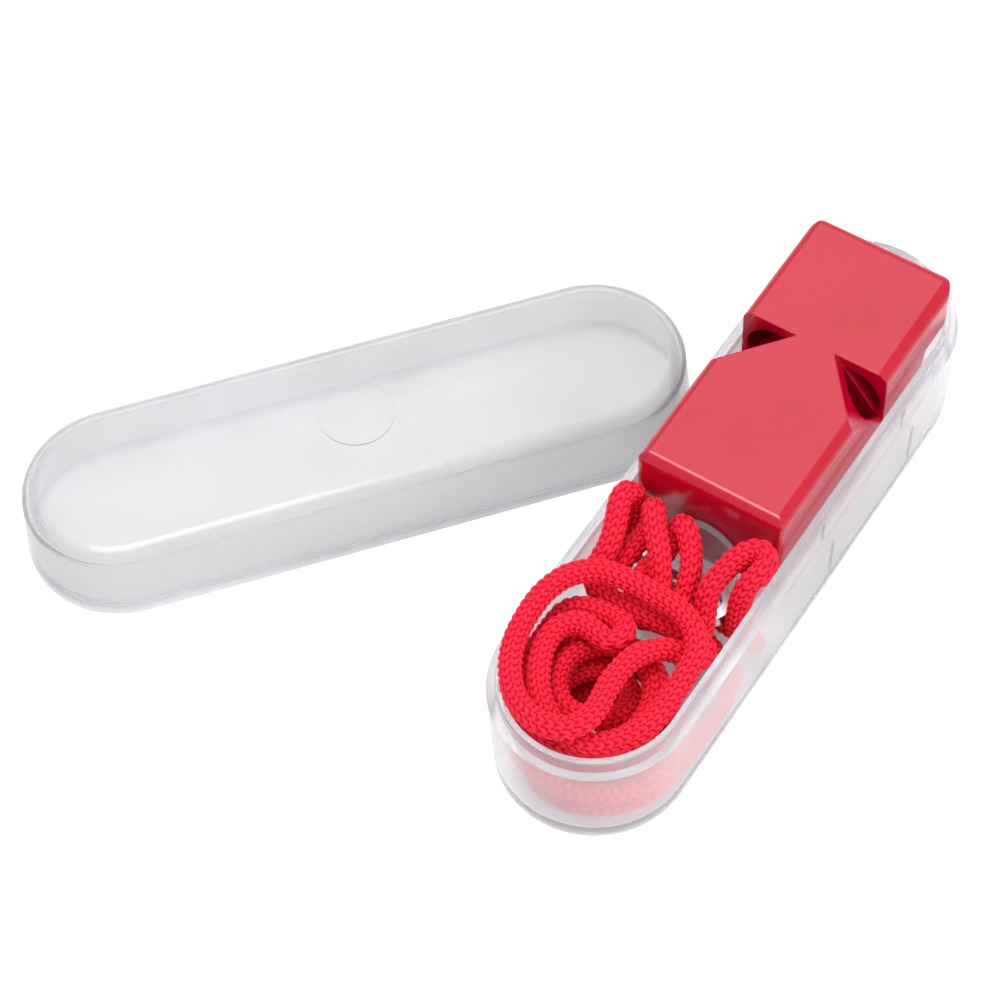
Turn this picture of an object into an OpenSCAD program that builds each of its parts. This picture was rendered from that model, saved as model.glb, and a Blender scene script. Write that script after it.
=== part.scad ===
// Pealess sports whistle in a clear two-part case, with a cord lanyard and a snap hook.
// Millimetres. Origin: centre of the base's underside. +Y runs towards the mouthpiece, +Z is up.

/* [Case base] */
// Length of the case over its ledge
case_len = 106; // [102:1:120]
// Width of the case over its ledge
case_w = 30.4; // [29.6:0.2:33]
// Height of the base from the table to its rim
base_h = 20.4; // [19.8:0.2:26]
// Height of the neck that the lid slides over
neck_h = 2.4; // [1.6:0.1:4]
// Width of the ledge that the lid sits on
ledge_w = 1.3; // [1:0.05:1.5]
// Thickness of the lip round the rim
lip_t = 0.95; // [0.8:0.05:1.1]
// Thickness of the base's floor
floor_t = 1.5; // [1:0.1:2]
// How far the outer wall draws in from the ledge to the foot
wall_draft = 0.4; // [0.1:0.1:0.8]
// Radius of the foot's lower edge
foot_r = 1; // [0.4:0.1:1.4]
// Radius of the round-topped divider
divider_r = 5.6; // [4:0.2:8]
// Height of the divider's top
divider_h = 19.6; // [14:0.2:20]
// Thickness of the divider
divider_t = 1; // [0.8:0.1:1.4]
// Thickness of the cross ribs that the whistle's body stands on
rib_t = 1.2; // [0.8:0.1:2]

/* [Case lid] */
// Height of the lid
lid_h = 13.8; // [12.6:0.2:20]
// Thickness of the lid's top
lid_t = 1.3; // [1:0.1:2]
// How far the lid's wall draws in from its mouth to its top
lid_draft = 0.8; // [0.4:0.1:1.2]
// Radius of the lid's upper edge
lid_edge_r = 3; // [1.6:0.1:4]
// Play between the lid and the neck
lid_fit = 0.05; // [0.03:0.01:0.1]
// Radius of the plain raised disc on the lid
disc_r = 5.8; // [3:0.2:8]
// How far the disc stands proud
disc_h = 0.25; // [0.1:0.05:0.5]
// Place of the lid's middle beside the base, across and along
lid_at = [-57.1, -14.6];
// Turn of the lid on the table, in degrees
lid_turn = -39.8; // [-60:0.1:0]

/* [Whistle] */
// Length of the whistle
whistle_len = 52.3; // [51:0.1:54]
// Height of the whistle's body
whistle_h = 17.5; // [15:0.5:18.5]
// Height of the mouthpiece
mouth_h = 7.5; // [6.5:0.1:9]
// Length of the mouthpiece on its underside
mouth_len = 9.2; // [7:0.2:12]
// Length of the slope between the body and the mouthpiece
slope_len = 3; // [1:0.5:6]
// Radius of the top edges
edge_r = 1.8; // [0.6:0.05:2.2]
// Radius of the mouthpiece's corners, seen from above
corner_r = 3.8; // [2.8:0.1:4]
// Distance from the rear face to the notches
notch_back = 21.9; // [20:0.1:24]
// How far each notch reaches in from the side
notch_w = 9.05; // [8:0.05:9.6]
// Length of each notch along the top edge
notch_len = 11.1; // [9:0.1:13]
// Depth of each notch down the side
notch_drop = 11; // [9:0.1:12]
// Radius of the sound chambers' round roofs
chamber_r = 4.75; // [4:0.05:4.9]
// Wall between the two chambers
chamber_web = 3.5; // [3:0.1:5]
// Roof over the chambers
chamber_roof = 2.05; // [1.6:0.05:3]
// Height of the lower cover that closes the chambers
cover_h = 3.5; // [2.5:0.1:4]
// Height of the air slots in the mouthpiece
slot_h = 1.8; // [1.2:0.1:2.2]
// Width of the air slots in the mouthpiece
slot_w = 6.4; // [5:0.1:7]
// Diameter of the hole in the lanyard lug
lug_bore = 3; // [2.4:0.1:3.2]
// Thickness of the lanyard lug
lug_t = 2.6; // [1.8:0.1:4]

/* [Lanyard fittings] */
// Mean radius of the wire ring
ring_r = 3.5; // [3:0.1:3.8]
// Diameter of the ring's wire
ring_wire = 1.1; // [0.8:0.1:1.2]
// Half the width of the snap hook
hook_half_w = 3.4; // [3:0.1:3.5]
// Thickness of the snap hook
hook_t = 2.2; // [1.8:0.1:2.6]
// Width of the hook's bow
bow_w = 1.5; // [1.2:0.1:1.7]
// Length of the hook, barrel and all
hook_len = 10.9; // [10.4:0.1:11]
// Opening between the gate's hinge and the nose
gate_gap = 3.8; // [3.4:0.1:4]
// Radius of the swivel's shank
shank_r = 0.9; // [0.7:0.05:1]
// Play of pins and the shank in their bores
pin_fit = 0.03; // [0.02:0.01:0.08]
// Length of the crimp ferrule
ferrule_len = 5.1; // [4:0.1:6]
// Wall of the crimp ferrule
ferrule_wall = 0.55; // [0.4:0.05:0.8]

/* [Cord] */
// Diameter of the knitted cord
cord_d = 3.5; // [3:0.1:3.6]
// Half width of the coil's innermost turns
coil_in_r = 4.8; // [4.4:0.1:5]
// Turns in each of the coil's four layers
layer_turns = 1.25; // [1.25]
// Rise from one layer of the coil to the next
layer_rise = 4.3; // [4.2:0.1:4.4]

/* [Hidden] */
$fn = 96;
clear_plastic = [0.88, 0.9, 0.93];
red_plastic = [0.82, 0, 0.13];
bright_metal = [0.75, 0.76, 0.78];
red_cord = [0.9, 0.08, 0.2];
// Overrun of every cutting shape
over = 0.5;
// Gap between pieces that rest on each other
seat = 0.1;

// Case: half distance between the end arcs, and the radii of its steps
case_half = (case_len - case_w) / 2;
ledge_r = case_w / 2;
neck_r = ledge_r - ledge_w;
cavity_r = neck_r - lip_t;
cavity_draft = wall_draft * 0.4;
cavity_foot_r = foot_r * 0.8;
ledge_z = base_h - neck_h;
rim_r = lip_t * 0.3;

// Whistle: its place in the base
rear_inset = 7.3;
side_gap = 0.75;
whistle_y1 = case_len / 2 - rear_inset;
whistle_y0 = whistle_y1 - whistle_len;
whistle_r = cavity_r - side_gap;
mouth_z = base_h + seat;
top_z = mouth_z + mouth_h;
body_z = top_z - whistle_h;
deep_y = whistle_y1 - mouth_len - slope_len;
front_corner_r = corner_r * 0.2;
divider_y = whistle_y0 - 0.3 * divider_t;

// Chambers, notches and air slots
notch_y = whistle_y1 - notch_back;
notch_x = whistle_r - notch_w;
chamber_x = chamber_web / 2 + chamber_r;
chamber_z = top_z - chamber_roof - chamber_r;
front_wall = 1.6;
cover_z = body_z + cover_h;
notch_normal = [notch_len * notch_drop, notch_w * notch_drop, notch_w * notch_len];
notch_tilt = acos(notch_normal.z / norm(notch_normal));
notch_turn = atan2(notch_normal.y, notch_normal.x);
windway_end = whistle_y1 - mouth_len - slope_len;
slot_x = chamber_x + chamber_r * 0.2;
slot_z = chamber_z + chamber_r * 0.5;

// Lanyard lug under the cover
lug_w = lug_bore + 2;
lug_drop = lug_w;
lug_z = body_z - lug_drop + lug_w / 2;
lug_y = whistle_y0 + 4.2;

// Cross ribs under the whistle, as shares of its length from its front face
rib_shares = [0.22, 0.68];

// Swivel axis, which runs along X, and the ring below its left end
hook_room = 2.7;
swivel_y = divider_y - divider_t - hook_half_w - hook_room;
swivel_z = 11.5;
ring_x = -7;
ring_z = swivel_z - ring_r;
eye_bore = ring_wire * 1.18;
eye_r = ring_wire * 2;
eye_t = ring_wire * 1.45;
eye_x = ring_x - ring_wire / 2 - pin_fit + eye_bore;
neck_len = 1.5;
barrel_x = eye_x + eye_r + neck_len;
barrel_len = 3;
barrel_r = 2.1;
frame_x = barrel_x + barrel_len;
collar_r = shank_r * 1.6;
collar_t = 0.8;
head_r = shank_r * 1.6;
head_t = 0.8;
end_play = 0.05;

// Hook's bow, gate, pin and spring
hook_x1 = barrel_x + hook_len;
bow_corner = hook_half_w * 0.55;
pin_r = 0.4;
pin_head_r = pin_r * 1.5;
pin_head_t = pin_r * 0.4;
ear_r = bow_w * 0.56;
ear_gap = hook_t * 0.56;
ear_play = 0.08;
knuckle_r = ear_r - ear_play / 2;
knuckle_t = 0.75;
spring_wire = 0.34;
gate_x = frame_x + ear_r + ear_play;
gate_y = -hook_half_w + bow_w / 2;
gate_w = bow_w * 0.86;
gate_t = hook_t * 0.9;
gate_tip_gap = 0.12;
gate_lap = 0.6;
nose_x = gate_x + gate_gap;

// Ferrule: two blind bores side by side, along X, and a tab for the ring
ferrule_y = swivel_y;
ferrule_z = swivel_z - 2 * ring_r;
ferrule_bore = cord_d / 2 + 0.05;
bore_half_gap = 2.2;
bore_x = -1;
ferrule_x0 = bore_x - ferrule_wall;
ferrule_x1 = ferrule_x0 + ferrule_len;
ferrule_r = ferrule_bore + ferrule_wall;
tab_t = ring_wire * 1.3;
tab_bore = ring_wire * 1.1;
tab_r = ring_wire * 1.8;
tab_x = ring_x - ring_wire / 2 - pin_fit + tab_bore;

// Coil of the cord, wound in the round end of the base
cord_gap = 0.4;
floor_gap = 0.15;
coil_out_r = cavity_r - cord_d / 2 - cord_gap;
coil_stretch = 1.074;
coil_y = -case_half + coil_out_r * (coil_stretch - 1);
coil_z = floor_t + cord_d / 2 + floor_gap;
loop_steps = 24;
coil_sides = 6;
tube_sides = 8;
climb_turns = 0.5;

// The cord's route where it isn't coiled: from the ferrule to the coil's foot
tail_points = [
    [-1, -16.2, 4.5], [3.5, -16.2, 4.5], [7, -16.6, 4.4], [9.8, -19.2, 4], [10.8, -24, 3.6],
    [10.8, -29, 3.4], [10.8, -33.5, 3.4]];
// From the coil's top end: across the eye and back, over the coil and round the rim
top_points = [
    [-10.8, -33.5, 16.3], [-10.8, -31.4, 16.3], [-10.5, -29.2, 16.7], [-8.9, -27.7, 17.5],
    [-6, -27.3, 18.5], [-3, -27.4, 19.4], [-0.7, -28.3, 20.2], [0.1, -30.2, 20.6], [-1.1, -31.8, 20.6],
    [-3.4, -31.4, 20.4], [-6.2, -31.2, 20.3], [-8.4, -32.8, 20.1], [-8.9, -36, 20], [-7.4, -40.4, 20],
    [-4.4, -44.4, 20], [0.2, -47.2, 20.1], [4.8, -47.2, 20.1], [8.4, -44, 20.1], [10.5, -39.6, 20.2],
    [10.9, -35, 20.4], [10.9, -30.6, 21], [10.5, -27.2, 21.7], [8.2, -24.4, 22.2], [5, -23, 22.4],
    [0.8, -22.6, 22.4], [-4, -22.6, 22.4], [-8, -23.4, 22.4], [-11.2, -26.2, 22.4],
    [-12.7, -30.4, 22.4], [-12.7, -35.4, 22.4], [-11.8, -40.2, 22.3], [-9.6, -44.4, 22.3],
    [-6.2, -47.8, 22.8], [-2, -49.4, 23.6], [1.6, -48.8, 24], [3.7, -46.2, 23.8], [3.8, -42.8, 23],
    [3, -37.6, 22.1], [3.6, -31.8, 21.2], [6.2, -28.2, 19.9], [8.4, -27.2, 18.7], [10.2, -26.2, 17.8],
    [10.6, -24.6, 17.1], [9.3, -23.3, 17], [6, -23.1, 17.2]];
// Along the back of the coil and through the two left loops
left_points = [
    [6, -23.1, 17.2], [0, -23.7, 17.2], [-6, -23.7, 16.9], [-9.2, -22.9, 17.1], [-9.9, -20.8, 18.8],
    [-9.6, -18.4, 20.8], [-10.2, -15.6, 22.3], [-11.3, -12.8, 23.3], [-11.7, -10.8, 23.5],
    [-11, -9.4, 22.2], [-10.9, -9, 19.4], [-10.6, -11, 15.4], [-10.4, -15, 12.6], [-10.1, -18.2, 11.7],
    [-9.2, -20, 12.6], [-8.4, -19.8, 14.8], [-7.8, -16.6, 17.4], [-7.2, -12.6, 18], [-7, -10.6, 19.4],
    [-7.4, -9.9, 20.6], [-7.2, -9.9, 21.9], [-6.5, -10.9, 22.8], [-5.2, -12.8, 22.5],
    [-2.6, -15.8, 21.2], [-0.6, -18.8, 18.4], [-0.5, -20.4, 13.5], [-1, -20.8, 11.3],
    [-2.4, -20.8, 10.5], [-3.8, -20.8, 11.3], [-4.3, -20.3, 13.5], [-4.1, -17.6, 16.8]];
// Through the two right loops and down into the ferrule
right_points = [
    [-4.1, -17.6, 16.8], [-3.2, -13.2, 17.6], [-3, -10.7, 19], [-2.8, -9.9, 20.2], [-2.2, -10, 21.6],
    [-0.8, -11, 22.1], [0.8, -12.7, 21.3], [2.4, -15.4, 20], [3.1, -18.6, 17.2], [3.4, -20.4, 13.5],
    [3.9, -20.8, 11.3], [5.3, -20.8, 10.5], [6.7, -20.8, 11.3], [7.1, -20, 13.5], [7, -19, 17.2],
    [6.4, -17, 20.4], [7, -14.4, 22.2], [8, -12, 23.6], [9.4, -10.3, 24.6], [11, -9.8, 25],
    [12.2, -10.8, 24.8], [12.1, -12.8, 23.8], [11.2, -14.3, 22.4], [10.8, -15.4, 19.8],
    [10.8, -16, 16.5], [10.8, -16, 12.5], [10.8, -14.4, 8.2], [9.8, -12.6, 5.2], [6.6, -11.8, 4.5],
    [3.5, -11.8, 4.5], [-1, -11.8, 4.5]];

// Solid of a half profile run round a stadium: round ends, straight sides
module stadium(profile, half) {
    for (side = [-1, 1])
        translate([0, side * half, 0]) rotate([0, 0, side > 0 ? 0 : 180])
            rotate_extrude(angle = 180) polygon(profile);
    rotate([90, 0, 0]) linear_extrude(height = 2 * half, center = true)
        union() {
            polygon(profile);
            mirror([1, 0]) polygon(profile);
        }
}

// Points of a quarter circle in a profile, for rounded edges
function arc(centre, r, from, to, steps = 8) =
    [for (i = [0 : steps]) centre + r * [cos(from + (to - from) * i / steps), sin(from + (to - from) * i / steps)]];

// Clear base: drafted skirt, ledge, neck, divider and the rails under the whistle
module case_base() color(clear_plastic, 0.3) {
    difference() {
        stadium(concat([[0, 0]],
            arc([ledge_r - wall_draft - foot_r, foot_r], foot_r, -90, 0),
            [[ledge_r, ledge_z], [neck_r, ledge_z]],
            arc([neck_r - rim_r, base_h - rim_r], rim_r, 0, 90, 4),
            [[0, base_h]]), case_half);
        stadium(concat([[0, floor_t]],
            arc([cavity_r - cavity_draft - cavity_foot_r, floor_t + cavity_foot_r], cavity_foot_r, -90, 0),
            [[cavity_r, base_h], [cavity_r, base_h + over], [0, base_h + over]]), case_half);
    }
    divider();
    for (share = rib_shares)
        rib(share);
}

// Round-topped plate between the whistle and the lanyard
module divider() {
    translate([0, divider_y, 0]) rotate([90, 0, 0]) linear_extrude(height = divider_t) {
        translate([0, divider_h - divider_r]) circle(r = divider_r);
        translate([-divider_r, floor_t / 2]) square([2 * divider_r, divider_h - divider_r - floor_t / 2]);
    }
}

// Cross rib from wall to wall, under the whistle's body
module rib(share) {
    rib_x = cavity_r + lip_t / 2;
    translate([-rib_x, whistle_y0 + share * whistle_len, floor_t / 2])
        cube([2 * rib_x, rib_t, body_z - seat - floor_t / 2]);
}

// Clear lid, laid beside the base with its mouth on the table
module case_lid() color(clear_plastic, 0.3)
    translate([lid_at.x, lid_at.y, 0]) rotate([0, 0, lid_turn]) {
        lid_in_r = neck_r + lid_fit;
        inner_edge_r = lid_edge_r - lid_t;
        top_in_r = lid_in_r - lid_draft * (lid_h - lid_t) / lid_h;
        difference() {
            stadium(concat([[0, 0], [ledge_r, 0]],
                arc([ledge_r - lid_draft - lid_edge_r, lid_h - lid_edge_r], lid_edge_r, 0, 90),
                [[0, lid_h]]), case_half);
            stadium(concat([[0, -over], [lid_in_r, -over], [lid_in_r, neck_h + over]],
                arc([top_in_r - inner_edge_r, lid_h - lid_t - inner_edge_r], inner_edge_r, 0, 90),
                [[0, lid_h - lid_t]]), case_half);
        }
        translate([0, 0, lid_h - disc_h]) cylinder(r = disc_r, h = 2 * disc_h);
    }

// Plan of the whistle: square front, rounded mouthpiece corners
module whistle_plan() {
    module side_rounds(y, r)
        for (side = [-1, 1])
            translate([side * (whistle_r - r), y]) circle(r = r);
    translate([-whistle_r, whistle_y0 + front_corner_r])
        square([2 * whistle_r, whistle_len - front_corner_r - corner_r]);
    translate([-whistle_r + front_corner_r, whistle_y0])
        square([2 * (whistle_r - front_corner_r), whistle_len / 2]);
    translate([-whistle_r + corner_r, whistle_y1 - whistle_len / 2])
        square([2 * (whistle_r - corner_r), whistle_len / 2]);
    side_rounds(whistle_y0 + front_corner_r, front_corner_r);
    side_rounds(whistle_y1 - corner_r, corner_r);
}

// Section across the whistle, with rounded edges
module whistle_section() {
    translate([-whistle_r, body_z + edge_r]) square([2 * whistle_r, whistle_h - 2 * edge_r]);
    translate([-whistle_r + edge_r, body_z]) square([2 * (whistle_r - edge_r), whistle_h]);
    for (side = [-1, 1])
        for (z = [body_z + edge_r, top_z - edge_r])
            translate([side * (whistle_r - edge_r), z]) circle(r = edge_r);
}

// Side view of the whistle: deep body, slope and thinner mouthpiece
module whistle_side() {
    polygon([[whistle_y0, body_z], [deep_y, body_z], [deep_y + slope_len, mouth_z], [whistle_y1, mouth_z],
             [whistle_y1, top_z - edge_r], [whistle_y0, top_z - edge_r]]);
    translate([whistle_y0 + edge_r, top_z - 2 * edge_r]) square([whistle_len - 2 * edge_r, 2 * edge_r]);
    for (y = [whistle_y0 + edge_r, whistle_y1 - edge_r])
        translate([y, top_z - edge_r]) circle(r = edge_r);
}

// Outer form of the whistle, where its three views meet
module whistle_form() intersection() {
    translate([0, 0, body_z]) linear_extrude(height = whistle_h) whistle_plan();
    translate([0, whistle_y1, 0]) rotate([90, 0, 0]) linear_extrude(height = whistle_len) whistle_section();
    rotate([90, 0, 90]) linear_extrude(height = 2 * whistle_r, center = true) whistle_side();
}

// One corner notch: flat rear wall and a ramp that slopes down and outwards
module notch() intersection() {
    translate([0, notch_y - 2 * notch_len, 0]) cube([2 * whistle_r, 2 * notch_len, 2 * top_z]);
    translate([notch_x, notch_y, top_z]) rotate([0, notch_tilt, notch_turn])
        translate([-whistle_len, -whistle_len, 0]) cube([2 * whistle_len, 2 * whistle_len, whistle_len]);
}

// Sound chamber: round roof, straight walls, open below where the cover closes it
module chamber() {
    depth = notch_y - whistle_y0 - front_wall;
    translate([chamber_x, notch_y, chamber_z]) rotate([90, 0, 0]) cylinder(r = chamber_r, h = depth);
    translate([chamber_x - chamber_r, notch_y - depth, cover_z - over])
        cube([2 * chamber_r, depth, chamber_z - cover_z + over]);
}

// Air passage from the slot in the mouthpiece to the notch's rear wall
module windway() {
    intersection() {
        translate([chamber_x, windway_end, chamber_z]) rotate([90, 0, 0])
            cylinder(r = chamber_r, h = windway_end - notch_y + over);
        translate([notch_x, 0, top_z]) rotate([0, atan2(notch_drop, notch_w), 0])
            translate([-whistle_len, -whistle_len, 0]) cube([2 * whistle_len, 2 * whistle_len, whistle_len]);
    }
    translate([slot_x, windway_end - over, slot_z]) slot_bar(whistle_y1 - windway_end + 2 * over);
}

// Flat bar with round ends, the form of an air slot
module slot_bar(length) {
    half = (slot_w - slot_h) / 2;
    for (side = [-1, 1])
        translate([side * half, 0, 0]) rotate([-90, 0, 0]) cylinder(r = slot_h / 2, h = length);
    translate([-half, 0, -slot_h / 2]) cube([2 * half, length, slot_h]);
}

// Red upper moulding: mouthpiece, notches, air slots and the chambers' roofs
module whistle_body() color(red_plastic) difference() {
    whistle_form();
    translate([-2 * whistle_r, whistle_y0 - over, body_z - over])
        cube([4 * whistle_r, whistle_len, cover_h + over]);
    for (side = [0, 1])
        mirror([side, 0, 0]) {
            notch();
            chamber();
            windway();
        }
}

// Red lower cover that closes the chambers and carries the lanyard lug
module whistle_cover() color(red_plastic) {
    intersection() {
        whistle_form();
        translate([-2 * whistle_r, whistle_y0 - over, body_z - over])
            cube([4 * whistle_r, whistle_len, cover_h + over]);
    }
    difference() {
        translate([-lug_t / 2, lug_y, 0]) rotate([0, 90, 0]) linear_extrude(height = lug_t) {
            translate([-lug_z, 0]) circle(r = lug_w / 2);
            translate([-body_z - cover_h / 2, -lug_w / 2]) square([body_z + cover_h / 2 - lug_z, lug_w]);
        }
        translate([-lug_t, lug_y, lug_z]) rotate([0, 90, 0]) cylinder(r = lug_bore / 2, h = 2 * lug_t);
    }
}

// Bright crimp ferrule: two bores for the cord's ends and a tab for the ring
module ferrule() color(bright_metal) translate([0, ferrule_y, ferrule_z]) {
    difference() {
        union() {
            for (side = [-1, 1])
                translate([ferrule_x0, side * bore_half_gap, 0]) rotate([0, 90, 0])
                    cylinder(r = ferrule_r, h = ferrule_len);
            translate([ferrule_x0, -bore_half_gap, -ferrule_r])
                cube([ferrule_len, 2 * bore_half_gap, 2 * ferrule_r]);
        }
        for (side = [-1, 1])
            translate([bore_x, side * bore_half_gap, 0]) rotate([0, 90, 0])
                cylinder(r = ferrule_bore, h = ferrule_len);
    }
    difference() {
        rotate([90, 0, 0]) linear_extrude(height = tab_t, center = true) {
            translate([tab_x, 0]) circle(r = tab_r);
            translate([tab_x, -tab_r]) square([ferrule_x0 + ferrule_wall / 2 - tab_x, 2 * tab_r]);
        }
        translate([tab_x, tab_t, 0]) rotate([90, 0, 0]) cylinder(r = tab_bore, h = 2 * tab_t);
    }
}

// Wire ring that links the ferrule and the swivel
module wire_ring() color(bright_metal) translate([ring_x, swivel_y, ring_z]) rotate([0, 90, 0])
    rotate_extrude() translate([ring_r, 0]) circle(r = ring_wire / 2, $fn = 48);

// Swivel: flat eye, collar, shank through the hook's barrel and a riveted head
module swivel_eye() color(bright_metal) translate([0, swivel_y, swivel_z]) {
    shank_x = eye_x + (eye_bore + eye_r) / 2;
    difference() {
        translate([eye_x, eye_t / 2, 0]) rotate([90, 0, 0]) cylinder(r = eye_r, h = eye_t);
        translate([eye_x, eye_t, 0]) rotate([90, 0, 0]) cylinder(r = eye_bore, h = 2 * eye_t);
    }
    translate([shank_x, 0, 0]) rotate([0, 90, 0]) cylinder(r = shank_r, h = frame_x + end_play + head_t / 2 - shank_x);
    translate([barrel_x - end_play - collar_t, 0, 0]) rotate([0, 90, 0]) cylinder(r = collar_r, h = collar_t);
    translate([frame_x + end_play, 0, 0]) rotate([0, 90, 0]) cylinder(r = head_r, h = head_t);
}

// Outline of the hook's bow, drawn in by an inset
module hook_outline(inset) {
    x0 = frame_x - bow_w + inset;
    x1 = hook_x1 - hook_half_w;
    half = hook_half_w - inset;
    corner = bow_corner - inset;
    translate([x1, 0]) circle(r = half);
    translate([x0 + corner, -half]) square([x1 - x0 - corner, 2 * half]);
    translate([x0, corner - half]) square([x1 - x0, 2 * (half - corner)]);
    for (side = [-1, 1])
        translate([x0 + corner, side * (half - corner)]) circle(r = corner);
}

// Snap hook: barrel on the swivel's shank, bow, two hinge ears and a stepped nose
module hook_body() color(bright_metal) translate([0, swivel_y, swivel_z]) difference() {
    union() {
        translate([barrel_x, 0, 0]) rotate([0, 90, 0]) cylinder(r = barrel_r, h = barrel_len);
        translate([0, 0, -hook_t / 2]) linear_extrude(height = hook_t) {
            difference() {
                hook_outline(0);
                hook_outline(bow_w);
                translate([gate_x, -hook_half_w - over]) square([gate_gap, bow_w + 2 * over]);
                translate([gate_x, gate_y - ear_play])
                    square([gate_gap + gate_lap + gate_tip_gap, bow_w]);
            }
            translate([gate_x, gate_y]) circle(r = ear_r);
        }
    }
    translate([barrel_x - over, 0, 0]) rotate([0, 90, 0])
        cylinder(r = shank_r + pin_fit, h = barrel_len + 2 * over);
    translate([frame_x, gate_y - bow_w, -ear_gap / 2]) cube([gate_x - frame_x + 2 * ear_r, 2 * bow_w, ear_gap]);
    translate([gate_x, gate_y, -hook_t]) cylinder(r = pin_r + pin_fit, h = 2 * hook_t);
}

// Sprung gate of the hook, closed against the nose from inside
module hook_gate() color(bright_metal) translate([gate_x, swivel_y + gate_y, swivel_z]) difference() {
    gate_len = gate_gap - gate_tip_gap;
    union() {
        translate([0, 0, ear_gap / 2 - pin_fit - knuckle_t]) linear_extrude(height = knuckle_t) {
            circle(r = knuckle_r);
            translate([0, -gate_w / 2]) square([gate_len, gate_w]);
        }
        translate([0, 0, -gate_t / 2]) linear_extrude(height = gate_t) difference() {
            union() {
                translate([0, -gate_w / 2]) square([gate_len, gate_w]);
                translate([gate_len - gate_lap, 0]) square([2 * gate_lap, gate_w / 2]);
            }
            circle(r = ear_r + ear_play);
        }
    }
    translate([0, 0, -hook_t]) cylinder(r = pin_r + pin_fit, h = 2 * hook_t);
}

// Riveted hinge pin of the gate
module gate_pin() color(bright_metal) translate([gate_x, swivel_y + gate_y, swivel_z]) {
    translate([0, 0, -hook_t / 2]) cylinder(r = pin_r, h = hook_t);
    for (z = [-hook_t / 2 - pin_head_t, hook_t / 2])
        translate([0, 0, z]) cylinder(r = pin_head_r, h = pin_head_t);
}

// Coil of the gate's torsion spring, between the knuckle and the lower ear
module gate_spring() color(bright_metal)
    translate([gate_x, swivel_y + gate_y, swivel_z - ear_gap / 2 + pin_fit + spring_wire / 2])
        rotate_extrude() translate([pin_r + pin_fit + spring_wire / 2, 0]) circle(r = spring_wire / 2, $fn = 24);

// Unit vector
function unit(v) = v / norm(v);

// Knot of a centripetal spline between two points
function knot(a, b) = sqrt(norm(b - a));

// Point of the spline between p[1] and p[2], at share u
function spline(p, u) =
    let (d0 = knot(p[0], p[1]), d1 = knot(p[1], p[2]), d2 = knot(p[2], p[3]),
         m1 = d1 * ((p[1] - p[0]) / d0 - (p[2] - p[0]) / (d0 + d1) + (p[2] - p[1]) / d1),
         m2 = d1 * ((p[2] - p[1]) / d1 - (p[3] - p[1]) / (d1 + d2) + (p[3] - p[2]) / d2))
    (2 * u * u * u - 3 * u * u + 1) * p[1] + (u * u * u - 2 * u * u + u) * m1
    + (3 * u * u - 2 * u * u * u) * p[2] + (u * u * u - u * u) * m2;

// Rings' centres along a route: each point and one halfway to the next, with straight end stretches
function centres(route) = let (last = len(route) - 1) concat(
    [route[0], (route[0] + route[1]) / 2],
    [for (i = [1 : last - 2]) for (u = [0, 0.5])
        spline([route[i - 1], route[i], route[i + 1], route[i + 2]], u)],
    [route[last - 1], (route[last - 1] + route[last]) / 2, route[last]]);

// Directions of a row of centres
function headings(row) = let (last = len(row) - 1)
    [for (i = [0 : last]) unit(row[min(i + 1, last)] - row[max(i - 1, 0)])];

// First side direction of a row, level and square to its heading
function first_side(heading) = unit(cross(heading, [0, 0, 1]));

// Side directions carried along a row without twist
function sides_of(heads) = let (last = len(heads) - 1)
    [for (i = 0, s = first_side(heads[0]); i <= last;
          i = i + 1, s = i <= last ? unit(s - (s * heads[i]) * heads[i]) : s) s];

// Round tube through a row of centres, from one index to another
module tube(row, from, to, sides) {
    heads = headings(row);
    across = sides_of(heads);
    rings = to - from + 1;
    points = [for (i = [from : to]) for (k = [0 : sides - 1])
        row[i] + cord_d / 2 * (cos(360 * k / sides) * across[i] + sin(360 * k / sides) * cross(heads[i], across[i]))];
    walls = [for (i = [0 : rings - 2]) for (k = [0 : sides - 1]) for (half = [0, 1])
        let (a = i * sides + k, b = i * sides + (k + 1) % sides)
        half == 0 ? [a, a + sides, b + sides] : [a, b + sides, b]];
    caps = [for (k = [1 : sides - 2]) for (end = [0, 1])
        let (f = end * (rings - 1) * sides)
        end == 0 ? [f, f + k, f + k + 1] : [f, f + k + 1, f + k]];
    polyhedron(points = points, faces = concat(walls, caps), convexity = 20);
}

// Place on the coil after a number of turns: four layers, in, out, in and out again
function coil_place(turns) =
    let (layer = min(floor(turns / (layer_turns + climb_turns)), 3),
         t = turns - layer * (layer_turns + climb_turns),
         in = min(t / layer_turns, 1),
         inward = layer % 2 == 0 ? in : 1 - in,
         r = coil_out_r + (coil_in_r - coil_out_r) * inward,
         climb = t > layer_turns ? (1 - cos(180 * (t - layer_turns) / climb_turns)) / 2 : 0)
    [r * cos(360 * turns), coil_y - coil_stretch * r * sin(360 * turns), coil_z + (layer + climb) * layer_rise];

// Centres of the coil, with a straight lead of one cord's width at either end
coil_turns = 4 * layer_turns + 3 * climb_turns;
coil_loops = [for (i = [0 : coil_turns * loop_steps]) coil_place(i / loop_steps)];
coil_row = concat([coil_loops[0] + [0, cord_d, 0]], coil_loops,
                  [coil_loops[len(coil_loops) - 1] + [0, cord_d, 0]]);
coil_gap = min([for (i = [0 : len(coil_loops) - 1]) for (j = [i + loop_steps / 2 : len(coil_loops) - 1])
    norm(coil_loops[i] - coil_loops[j])]) - cord_d;
echo(least_gap_between_the_coil_s_turns = coil_gap);

// Rows of the free stretches: the tail, and the three parts of the long route in one
function rest(list) = [for (i = [1 : len(list) - 1]) list[i]];
tail_row = centres(tail_points);
free_row = centres(concat(top_points, rest(left_points), rest(right_points)));
top_end = 2 * (len(top_points) - 1);
left_end = top_end + 2 * (len(left_points) - 1);
free_end = len(free_row) - 1;

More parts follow.
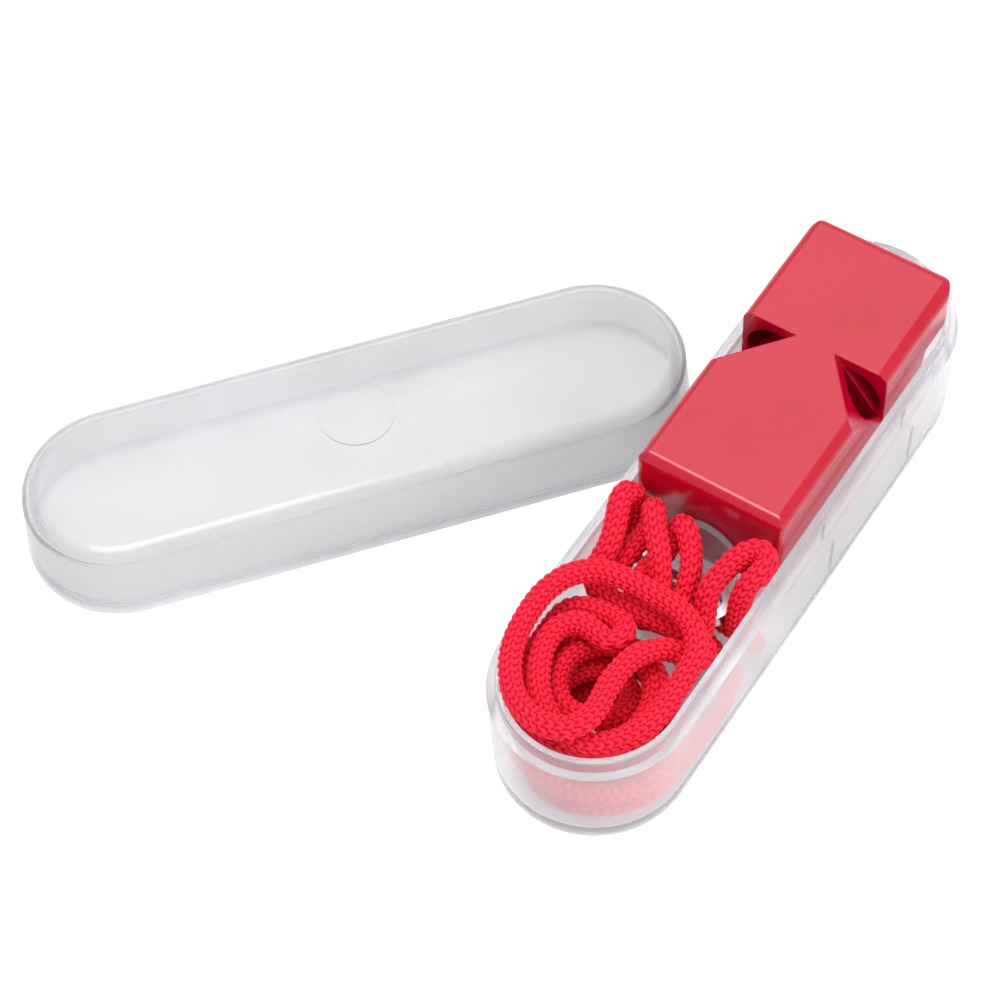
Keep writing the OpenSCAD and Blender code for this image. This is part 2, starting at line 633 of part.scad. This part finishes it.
// Cord from the ferrule to the coil's foot
module cord_tail() color(red_cord) tube(tail_row, 0, len(tail_row) - 1, tube_sides);

// Coiled cord in the round end of the base
module cord_coil() color(red_cord) tube(coil_row, 0, len(coil_row) - 1, coil_sides);

// Cord over the coil and once round the rim
module cord_top() color(red_cord) tube(free_row, 0, top_end, tube_sides);

// Two loops at the left, against the whistle's front
module cord_left_loops() color(red_cord) tube(free_row, top_end, left_end, tube_sides);

// Two loops at the right, and down to the ferrule
module cord_right_loops() color(red_cord) tube(free_row, left_end, free_end, tube_sides);

case_base();
case_lid();
whistle_body();
whistle_cover();
ferrule();
wire_ring();
swivel_eye();
hook_body();
hook_gate();
gate_pin();
gate_spring();
cord_tail();
cord_coil();
cord_top();
cord_left_loops();
cord_right_loops();
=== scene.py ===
import math
import bpy
import numpy as np
from mathutils import Matrix, Vector


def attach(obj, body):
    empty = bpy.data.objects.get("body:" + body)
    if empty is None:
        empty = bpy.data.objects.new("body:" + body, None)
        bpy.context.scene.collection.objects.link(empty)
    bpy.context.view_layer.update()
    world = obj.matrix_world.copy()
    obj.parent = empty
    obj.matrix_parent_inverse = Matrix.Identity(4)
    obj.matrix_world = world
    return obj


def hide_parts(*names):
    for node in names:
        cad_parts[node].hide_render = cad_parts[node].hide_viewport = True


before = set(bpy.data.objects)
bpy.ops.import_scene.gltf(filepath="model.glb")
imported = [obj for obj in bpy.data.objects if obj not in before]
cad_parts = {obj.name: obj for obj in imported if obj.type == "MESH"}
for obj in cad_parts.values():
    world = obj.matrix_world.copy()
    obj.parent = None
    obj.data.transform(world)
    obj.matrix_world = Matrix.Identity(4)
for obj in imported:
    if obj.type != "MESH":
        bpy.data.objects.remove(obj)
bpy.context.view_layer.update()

MM = 0.001


def mm(*values):
    """A point or direction given in millimetres, in metres."""
    return tuple(v * MM for v in values)


# Camera: places in millimetres, fitted to the picture's perspective
CAMERA_PLACE = (115.09, -215.65, 385.36)
CAMERA_TARGET = (-35.3, -8.8, 0)
CAMERA_ROLL = math.radians(-3.48)
SENSOR = 36
IMAGE_WIDTH = 1001
FOCAL_PIXELS = 3000
CLIP_START = 0.02


def make_camera():
    """The camera at the picture's viewing angle."""
    data = bpy.data.cameras.new("camera")
    data.sensor_width = SENSOR
    data.lens = FOCAL_PIXELS * SENSOR / IMAGE_WIDTH
    data.clip_start = CLIP_START
    camera = bpy.data.objects.new("camera", data)
    bpy.context.scene.collection.objects.link(camera)
    place = Vector(mm(*CAMERA_PLACE))
    ahead = Vector(mm(*CAMERA_TARGET)) - place
    turn = ahead.to_track_quat("-Z", "Y").to_matrix() @ Matrix.Rotation(CAMERA_ROLL, 3, "Z")
    camera.matrix_world = Matrix.Translation(place) @ turn.to_4x4()
    bpy.context.scene.camera = camera


make_camera()

# The cord's route in millimetres, as in the part's source
CORD_D = 3.5
CAVITY_R = 12.95
CASE_HALF = 37.8
FLOOR_T = 1.5
FLOOR_GAP = 0.15
CORD_GAP = 0.4
COIL_OUT_R = CAVITY_R - CORD_D / 2 - CORD_GAP
COIL_IN_R = 4.8
COIL_STRETCH = 1.074
COIL_Y = -CASE_HALF + COIL_OUT_R * (COIL_STRETCH - 1)
COIL_Z = FLOOR_T + CORD_D / 2 + FLOOR_GAP
LAYER_TURNS = 1.25
CLIMB_TURNS = 0.5
LAYERS = 4
LAYER_RISE = 4.3
COIL_STEPS = 48

TAIL_POINTS = [
    (-1, -16.2, 4.5), (3.5, -16.2, 4.5), (7, -16.6, 4.4), (9.8, -19.2, 4), (10.8, -24, 3.6),
    (10.8, -29, 3.4), (10.8, -33.5, 3.4)]
TOP_POINTS = [
    (-10.8, -33.5, 16.3), (-10.8, -31.4, 16.3), (-10.5, -29.2, 16.7), (-8.9, -27.7, 17.5),
    (-6, -27.3, 18.5), (-3, -27.4, 19.4), (-0.7, -28.3, 20.2), (0.1, -30.2, 20.6),
    (-1.1, -31.8, 20.6), (-3.4, -31.4, 20.4), (-6.2, -31.2, 20.3), (-8.4, -32.8, 20.1),
    (-8.9, -36, 20), (-7.4, -40.4, 20), (-4.4, -44.4, 20), (0.2, -47.2, 20.1), (4.8, -47.2, 20.1),
    (8.4, -44, 20.1), (10.5, -39.6, 20.2), (10.9, -35, 20.4), (10.9, -30.6, 21),
    (10.5, -27.2, 21.7), (8.2, -24.4, 22.2), (5, -23, 22.4), (0.8, -22.6, 22.4),
    (-4, -22.6, 22.4), (-8, -23.4, 22.4), (-11.2, -26.2, 22.4), (-12.7, -30.4, 22.4),
    (-12.7, -35.4, 22.4), (-11.8, -40.2, 22.3), (-9.6, -44.4, 22.3), (-6.2, -47.8, 22.8),
    (-2, -49.4, 23.6), (1.6, -48.8, 24), (3.7, -46.2, 23.8), (3.8, -42.8, 23), (3, -37.6, 22.1),
    (3.6, -31.8, 21.2), (6.2, -28.2, 19.9), (8.4, -27.2, 18.7), (10.2, -26.2, 17.8),
    (10.6, -24.6, 17.1), (9.3, -23.3, 17), (6, -23.1, 17.2)]
LEFT_POINTS = [
    (6, -23.1, 17.2), (0, -23.7, 17.2), (-6, -23.7, 16.9), (-9.2, -22.9, 17.1),
    (-9.9, -20.8, 18.8), (-9.6, -18.4, 20.8), (-10.2, -15.6, 22.3), (-11.3, -12.8, 23.3),
    (-11.7, -10.8, 23.5), (-11, -9.4, 22.2), (-10.9, -9, 19.4), (-10.6, -11, 15.4),
    (-10.4, -15, 12.6), (-10.1, -18.2, 11.7), (-9.2, -20, 12.6), (-8.4, -19.8, 14.8),
    (-7.8, -16.6, 17.4), (-7.2, -12.6, 18), (-7, -10.6, 19.4), (-7.4, -9.9, 20.6),
    (-7.2, -9.9, 21.9), (-6.5, -10.9, 22.8), (-5.2, -12.8, 22.5), (-2.6, -15.8, 21.2),
    (-0.6, -18.8, 18.4), (-0.5, -20.4, 13.5), (-1, -20.8, 11.3), (-2.4, -20.8, 10.5),
    (-3.8, -20.8, 11.3), (-4.3, -20.3, 13.5), (-4.1, -17.6, 16.8)]
RIGHT_POINTS = [
    (-4.1, -17.6, 16.8), (-3.2, -13.2, 17.6), (-3, -10.7, 19), (-2.8, -9.9, 20.2),
    (-2.2, -10, 21.6), (-0.8, -11, 22.1), (0.8, -12.7, 21.3), (2.4, -15.4, 20),
    (3.1, -18.6, 17.2), (3.4, -20.4, 13.5), (3.9, -20.8, 11.3), (5.3, -20.8, 10.5),
    (6.7, -20.8, 11.3), (7.1, -20, 13.5), (7, -19, 17.2), (6.4, -17, 20.4), (7, -14.4, 22.2),
    (8, -12, 23.6), (9.4, -10.3, 24.6), (11, -9.8, 25), (12.2, -10.8, 24.8), (12.1, -12.8, 23.8),
    (11.2, -14.3, 22.4), (10.8, -15.4, 19.8), (10.8, -16, 16.5), (10.8, -16, 12.5),
    (10.8, -14.4, 8.2), (9.8, -12.6, 5.2), (6.6, -11.8, 4.5), (3.5, -11.8, 4.5), (-1, -11.8, 4.5)]
CORD_NODES = ("cord_tail", "cord_coil", "cord_top", "cord_left_loops", "cord_right_loops")

# The knit: WALES columns of V-shaped stitches run along the cord. STITCH, RELIEF and YARN_PROUD are
# in millimetres. The legs and pits are in pitches along the cord, and in column widths across it.
WALES = 7
STITCH = 1.25
SIDES_PER_WALE = 8
RINGS_PER_STITCH = 6
RELIEF = 0.38
YARN_PROUD = 0.06
LEG_LENGTH = 1.25
LEG_SPREAD = 0.46
LEG_HALF_WIDTH = 0.27
PIT_HALF_WIDTH = 0.16
PIT_HALF_LENGTH = 0.24
PIT_DEPTH = 0.9

# Spacing of the cord's centreline in millimetres as it is eased, and how many easing passes it gets
EASE_STEP = 0.4
EASE_PASSES = 4


def spline(points, steps=12):
    """A centripetal spline through the points, with straight end stretches."""
    p = [np.array(q, float) for q in points]
    row = [p[0]]
    for i in range(1, len(p) - 2):
        a, b, c, d = p[i - 1:i + 3]
        d0, d1, d2 = (math.sqrt(np.linalg.norm(y - x)) for x, y in ((a, b), (b, c), (c, d)))
        m1 = d1 * ((b - a) / d0 - (c - a) / (d0 + d1) + (c - b) / d1)
        m2 = d1 * ((c - b) / d1 - (d - b) / (d1 + d2) + (d - c) / d2)
        for k in range(steps):
            u = k / steps
            row.append((2 * u**3 - 3 * u**2 + 1) * b + (u**3 - 2 * u**2 + u) * m1
                       + (3 * u**2 - 2 * u**3) * c + (u**3 - u**2) * m2)
    return row + [p[-2], p[-1]]


def coil_place(turns):
    """The place on the coil after a number of turns."""
    period = LAYER_TURNS + CLIMB_TURNS
    layer = min(int(turns / period), LAYERS - 1)
    t = turns - layer * period
    inward = min(t / LAYER_TURNS, 1)
    if layer % 2:
        inward = 1 - inward
    r = COIL_OUT_R + (COIL_IN_R - COIL_OUT_R) * inward
    climb = (1 - math.cos(math.pi * (t - LAYER_TURNS) / CLIMB_TURNS)) / 2 if t > LAYER_TURNS else 0
    angle = 2 * math.pi * turns
    return np.array((r * math.cos(angle), COIL_Y - COIL_STRETCH * r * math.sin(angle),
                     COIL_Z + (layer + climb) * LAYER_RISE))


def cord_line():
    """The cord's whole centreline, from the ferrule's first bore back to its second."""
    turns = LAYERS * LAYER_TURNS + (LAYERS - 1) * CLIMB_TURNS
    coil = [coil_place(i / COIL_STEPS) for i in range(int(turns * COIL_STEPS) + 1)]
    free = TOP_POINTS + LEFT_POINTS[1:] + RIGHT_POINTS[1:]
    return np.array(spline(TAIL_POINTS) + coil + spline(free))


def even(row, step):
    """The same line with its points a step apart, and their distances along it."""
    lengths = np.concatenate([[0], np.cumsum(np.linalg.norm(np.diff(row, axis=0), axis=1))])
    at = np.linspace(0, lengths[-1], int(round(lengths[-1] / step)) + 1)
    return np.stack([np.interp(at, lengths, row[:, k]) for k in range(3)], axis=1), at


def smooth(row, passes):
    """The line with its kinks eased in place, its ends held."""
    for _ in range(passes):
        row[1:-1] = (row[:-2] + 2 * row[1:-1] + row[2:]) / 4
    return row


def turning_sides(heads):
    """Side directions carried along the line without twist."""
    side = np.cross(heads[0], (0, 0, 1))
    sides = []
    for head in heads:
        side = side - side.dot(head) * head
        side = side / np.linalg.norm(side)
        sides.append(side)
    return np.array(sides)


def stitch_height(around, along):
    """Height of the knit from 0 to 1, where around counts wales and along counts stitches."""
    cell = around - np.floor(around) - 0.5
    best = np.zeros_like(cell)
    for shift in (-1, 0, 1, 2):
        t = np.clip(along - np.floor(along) - shift + 1, 0, LEG_LENGTH)
        spread = LEG_SPREAD * np.minimum(t, 1.0) * (0.35 + 0.65 * np.minimum(t, 1.0))
        ends = np.clip(np.minimum(t / 0.25, (LEG_LENGTH - t) / 0.35), 0, 1)
        swell = 0.55 + 0.45 * np.sin(math.pi * t / LEG_LENGTH)
        for hand in (-1, 1):
            off = (cell - hand * spread) / LEG_HALF_WIDTH
            crown = np.sqrt(np.clip(1 - off**2, 0, 1))
            best = np.maximum(best, crown * swell * ends)
    middle = (along - np.floor(along) - 0.5) / PIT_HALF_LENGTH
    pit = np.exp(-(cell / PIT_HALF_WIDTH)**2 - middle**2)
    return best * (1 - PIT_DEPTH * pit)


def mesh_object(name, points, faces, smooth_shading=True):
    """A mesh object from lists of points, in metres, and faces."""
    mesh = bpy.data.meshes.new(name)
    mesh.from_pydata(points, [], faces)
    mesh.validate()
    if smooth_shading:
        mesh.shade_smooth()
    piece = bpy.data.objects.new(name, mesh)
    bpy.context.scene.collection.objects.link(piece)
    return piece


def make_cord(material):
    """The knitted cord, as one tube with its stitches as real relief."""
    line = smooth(even(cord_line(), EASE_STEP)[0], EASE_PASSES)
    line, at = even(line, STITCH / RINGS_PER_STITCH)
    heads = np.gradient(line, axis=0)
    heads /= np.linalg.norm(heads, axis=1)[:, None]
    across = turning_sides(heads)
    up = np.cross(heads, across)
    count = WALES * SIDES_PER_WALE
    k = np.arange(count)
    angle = 2 * math.pi * k / count
    around = (k / SIDES_PER_WALE)[None, :] + 0 * at[:, None]
    stagger = 0.5 * (np.floor(around + 0.5) % 2)
    height = stitch_height(around, at[:, None] / STITCH + stagger)
    radius = CORD_D / 2 + YARN_PROUD - RELIEF * (1 - height)
    ring = (np.cos(angle)[None, :, None] * across[:, None, :]
            + np.sin(angle)[None, :, None] * up[:, None, :])
    points = line[:, None, :] + radius[:, :, None] * ring
    rings = len(line)
    points = np.concatenate([points.reshape(-1, 3), line[:1], line[-1:]]) * MM
    i = np.arange(rings - 1)[:, None] * count
    a = i + k[None, :]
    b = i + (k[None, :] + 1) % count
    walls = np.stack([a, b, b + count, a + count], axis=-1).reshape(-1, 4)
    first, last = len(points) - 2, len(points) - 1
    start = [(first, (j + 1) % count, j) for j in range(count)]
    base = (rings - 1) * count
    end = [(last, base + j, base + (j + 1) % count) for j in range(count)]
    piece = mesh_object("knitted_cord", points.tolist(), walls.tolist() + start + end)
    # The knit's height, kept on the points for the material, which paints shade into the low places
    knit_height_for_painted_shade = np.concatenate([height.reshape(-1), [0, 0]])
    relief = piece.data.attributes.new("relief", "FLOAT", "POINT")
    relief.data.foreach_set("value", knit_height_for_painted_shade.astype(np.float32))
    piece.data.materials.append(material)
    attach(piece, "lanyard")
    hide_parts(*CORD_NODES)


class Nodes:
    """Short forms for building a material's nodes."""

    def __init__(self, name):
        self.material = bpy.data.materials.new(name)
        self.material.use_nodes = True
        self.tree = self.material.node_tree
        self.shader = self.tree.nodes["Principled BSDF"]
        self.output = self.tree.nodes["Material Output"]

    def add(self, kind, inputs=(), **settings):
        """A new node, with its settings and inputs."""
        node = self.tree.nodes.new(kind)
        for key, value in settings.items():
            setattr(node, key, value)
        for key, value in dict(inputs).items():
            self.put(node.inputs[key], value)
        return node

    def put(self, socket, value):
        """Links an output to the socket, or sets the socket's value."""
        if isinstance(value, bpy.types.NodeSocket):
            self.tree.links.new(value, socket)
        else:
            socket.default_value = value

    def set(self, **inputs):
        """Puts values on the shader's sockets, with _ for a space in their names."""
        for key, value in inputs.items():
            self.put(self.shader.inputs[key.replace("_", " ")], value)

    def noise(self, scale, detail=4, roughness=0.5):
        """Noise from 0 to 1, fixed to the object."""
        place = self.add("ShaderNodeTexCoord").outputs["Object"]
        return self.add("ShaderNodeTexNoise", {"Vector": place, "Scale": scale, "Detail": detail,
                                               "Roughness": roughness}).outputs["Fac"]

    def span(self, value, low, high, start=0.0, stop=1.0):
        """Maps start..stop to low..high."""
        return self.add("ShaderNodeMapRange", {"Value": value, "From Min": start, "From Max": stop,
                                               "To Min": low, "To Max": high}).outputs["Result"]

    def blend(self, factor, low, high):
        """A colour between two colours."""
        inputs = {"Factor": factor, "A": low, "B": high}
        return self.add("ShaderNodeMix", inputs, data_type="RGBA").outputs[2]

    def maths(self, operation, *values):
        """The result of one operation on numbers."""
        return self.add("ShaderNodeMath", enumerate(values), operation=operation).outputs[0]

    def bump(self, height, distance, strength=1.0, normal=None):
        """A normal raised by a height, on top of another normal where one is given."""
        inputs = {"Height": height, "Distance": distance, "Strength": strength}
        if normal is not None:
            inputs["Normal"] = normal
        return self.add("ShaderNodeBump", inputs).outputs["Normal"]


def cord_material():
    """Red knitted polyester: bright yarn on the stitches, painted shade in deep red down between
    them, fine fibres.
    """
    n = Nodes("red_cord")
    relief = n.add("ShaderNodeAttribute", attribute_name="relief").outputs["Fac"]
    fibres = n.noise(9000, 2)
    patches = n.noise(160, 3)
    worn = n.blend(n.span(patches, 0, 1, 0.35, 0.65),
                   (0.98, 0.006, 0.035, 1), (1.0, 0.014, 0.05, 1))
    yarn = n.blend(n.span(fibres, 0, 1, 0.3, 0.7), worn, (1.0, 0.035, 0.08, 1))
    # Painted shade: where the knit's relief is low, in the pits between the stitches, the colour
    # turns deep red
    n.set(Base_Color=n.blend(n.span(relief, 0, 1, 0.15, 0.6), (0.55, 0.0, 0.014, 1), yarn),
          Roughness=n.span(fibres, 0.6, 0.85), Normal=n.bump(fibres, 0.00006, 0.6))
    n.shader.inputs["Specular IOR Level"].default_value = 0.15
    n.shader.inputs["Sheen Weight"].default_value = 0.06
    n.shader.inputs["Sheen Tint"].default_value = (1, 0.3, 0.35, 1)
    return n.material


def red_plastic():
    """Glossy red moulded plastic with faint flow marks and finger haze."""
    n = Nodes("red_plastic")
    haze = n.noise(90, 4)
    specks = n.noise(1400, 2)
    edge = n.add("ShaderNodeBevel", {"Radius": 0.0004}, samples=6).outputs["Normal"]
    n.set(Base_Color=n.blend(n.span(haze, 0, 1, 0.3, 0.7),
                             (0.47, 0.0, 0.018, 1), (0.53, 0.001, 0.028, 1)),
          Roughness=n.span(haze, 0.12, 0.2), Normal=n.bump(specks, 0.00002, 0.15, edge))
    n.shader.inputs["Specular IOR Level"].default_value = 0.42
    n.shader.inputs["Coat Weight"].default_value = 0.2
    n.shader.inputs["Coat Roughness"].default_value = 0.05
    return n.material


def clear_plastic(name, tint, haze, rough, through):
    """Clear moulded plastic: faint waves, light scratches, a milky haze and a frosted lower edge.

    tint colours what is seen through it, haze is the milky share, rough is the range of roughness,
    and through is the light that one face lets pass onto what lies behind it.
    """
    n = Nodes(name)
    waves = n.noise(120, 2)
    scratches = n.noise(2600, 5, 0.7)
    paler = [min(1, channel * 1.03) for channel in tint]
    n.set(Base_Color=n.blend(n.span(waves, 0, 1, 0.3, 0.7), tint, paler),
          Roughness=n.span(scratches, *rough, 0.3, 0.75), Normal=n.bump(waves, 0.0002, 0.3))
    n.shader.inputs["Transmission Weight"].default_value = 1.0
    n.shader.inputs["IOR"].default_value = 1.46
    milk = n.add("ShaderNodeBsdfDiffuse", {"Color": (0.9, 0.9, 0.93, 1)}).outputs["BSDF"]
    cloud = n.span(n.noise(60, 3), haze * 0.8, haze * 1.2, 0.35, 0.65)
    place = n.add("ShaderNodeSeparateXYZ", {0: n.add("ShaderNodeTexCoord").outputs["Object"]})
    frosted = n.span(place.outputs["Z"], 0.4, 0, 0.0006, 0.0022)
    veil = n.maths("ADD", cloud, frosted)
    body = n.add("ShaderNodeMixShader", {0: veil, 1: n.shader.outputs["BSDF"], 2: milk})
    clear = n.add("ShaderNodeBsdfTransparent", {"Color": through}).outputs["BSDF"]
    shadow = n.add("ShaderNodeLightPath").outputs["Is Shadow Ray"]
    mixed = n.add("ShaderNodeMixShader", {0: shadow, 1: body.outputs["Shader"], 2: clear})
    n.put(n.output.inputs["Surface"], mixed.outputs["Shader"])
    return n.material


def bright_metal():
    """Bright nickel plate with fine wear."""
    n = Nodes("bright_metal")
    wear = n.noise(700, 4, 0.6)
    n.set(Base_Color=n.blend(n.span(wear, 0, 1, 0.35, 0.7),
                             (0.72, 0.72, 0.74, 1), (0.55, 0.55, 0.57, 1)),
          Roughness=n.span(wear, 0.14, 0.3), Metallic=1.0, Normal=n.bump(wear, 0.00002, 0.2))
    return n.material


def dress(material, *nodes):
    """Gives CAD nodes a material."""
    for node in nodes:
        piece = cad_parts[node]
        if not piece.material_slots:
            piece.data.materials.append(material)
        for slot in piece.material_slots:
            slot.material = material


make_cord(cord_material())
dress(red_plastic(), "whistle_body", "whistle_cover")
dress(bright_metal(), "ferrule", "wire_ring", "swivel_eye", "hook_body", "hook_gate", "gate_pin",
      "gate_spring")
dress(clear_plastic("clear_base", tint=(0.96, 0.96, 0.975, 1), haze=0.16,
                    rough=(0.08, 0.17), through=(0.92, 0.92, 0.93, 1)), "case_base")
dress(clear_plastic("clear_lid", tint=(0.69, 0.69, 0.695, 1), haze=0.19,
                    rough=(0.1, 0.2), through=(0.68, 0.68, 0.69, 1)), "case_lid")

# The floor: its half size and its drop below z = 0 in metres, and the brightness added to it where
# the camera sees it straight on, and by way of a reflection or through clear plastic
FLOOR_HALF = 3.0
FLOOR_DROP = 0.00005
CAMERA_LIFT = 0.35
BOUNCED_LIFT = 0.1


def make_floor():
    """A plain white floor that keeps the object's shadow."""
    n = Nodes("floor")
    n.set(Base_Color=(0.82, 0.82, 0.82, 1), Roughness=0.6)
    n.shader.inputs["Specular IOR Level"].default_value = 0.2
    paths = n.add("ShaderNodeLightPath").outputs
    # A ray through clear plastic counts as glossy and as transmission, so the two aren't summed
    bounced = n.maths("MAXIMUM", paths["Is Glossy Ray"], paths["Is Transmission Ray"])
    lift = n.maths("MULTIPLY_ADD", paths["Is Camera Ray"], CAMERA_LIFT,
                   n.maths("MULTIPLY", bounced, BOUNCED_LIFT))
    glow = n.add("ShaderNodeEmission", {"Color": (1, 1, 1, 1), "Strength": lift})
    total = n.add("ShaderNodeAddShader", {0: n.shader.outputs["BSDF"], 1: glow.outputs["Emission"]})
    n.put(n.output.inputs["Surface"], total.outputs["Shader"])
    corners = [(x * FLOOR_HALF, y * FLOOR_HALF, 0) for x, y in ((-1, -1), (1, -1), (1, 1), (-1, 1))]
    floor = mesh_object("floor", corners, [(0, 1, 2, 3)], smooth_shading=False)
    floor.location.z = -FLOOR_DROP
    floor.data.materials.append(n.material)


def make_lamp(name, place, size, power):
    """A soft square lamp aimed at the origin: place in millimetres, size in metres, watts."""
    data = bpy.data.lights.new(name, "AREA")
    data.shape = "SQUARE"
    data.size = size
    data.energy = power
    lamp = bpy.data.objects.new(name, data)
    bpy.context.scene.collection.objects.link(lamp)
    place = Vector(mm(*place))
    turn = (-place).to_track_quat("-Z", "Y").to_matrix().to_4x4()
    lamp.matrix_world = Matrix.Translation(place) @ turn


def make_world(strength):
    """Even pale light from all round."""
    world = bpy.data.worlds.new("studio")
    bpy.context.scene.world = world
    world.use_nodes = True
    back = world.node_tree.nodes["Background"]
    back.inputs["Color"].default_value = (1, 1, 1, 1)
    back.inputs["Strength"].default_value = strength


make_floor()
make_world(strength=0.74)
make_lamp("key", (-420, 480, 900), size=0.7, power=2.2)
make_lamp("top", (-150, -60, 1000), size=0.4, power=3.8)
make_lamp("side", (900, -150, 500), size=0.5, power=3.5)
bpy.context.scene.view_settings.view_transform = "Standard"
